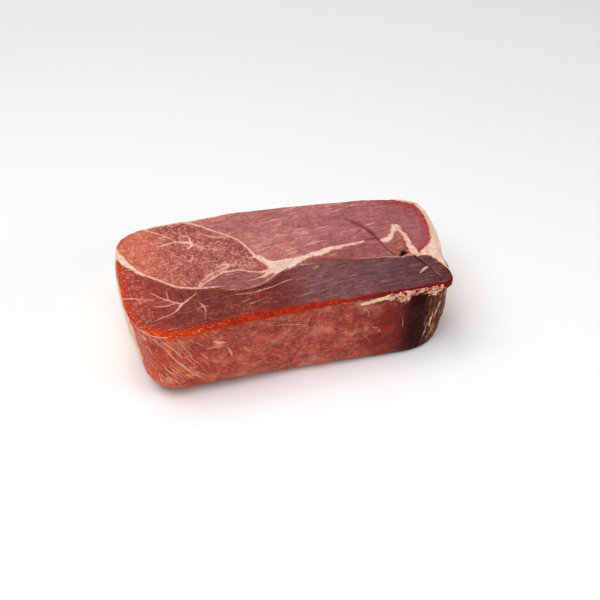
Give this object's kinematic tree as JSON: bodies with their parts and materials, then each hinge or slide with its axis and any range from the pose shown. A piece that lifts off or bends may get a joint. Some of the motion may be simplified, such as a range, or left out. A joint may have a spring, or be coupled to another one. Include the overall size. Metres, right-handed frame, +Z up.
{
  "type": "spanish ham",
  "caption": "Boneless block of dry-cured ham, pressed to a rounded bar with a flat cut top, a carved front and a fat rind on its back and right side.",
  "frame": {"origin": "on the surface it rests on, under the middle of the block's outline", "axes": "+X along the block towards its darker dried end, +Y from the carved front to the rind at the back, +Z up through the cut face"},
  "size_m": [0.2528, 0.1188, 0.0739],
  "materials": {
    "cured_meat": "moist cut meat, half gloss, with cream fat seams"
  },
  "bodies": {
    "root": {"ham": "cured_meat"}
  },
  "joints": []
}
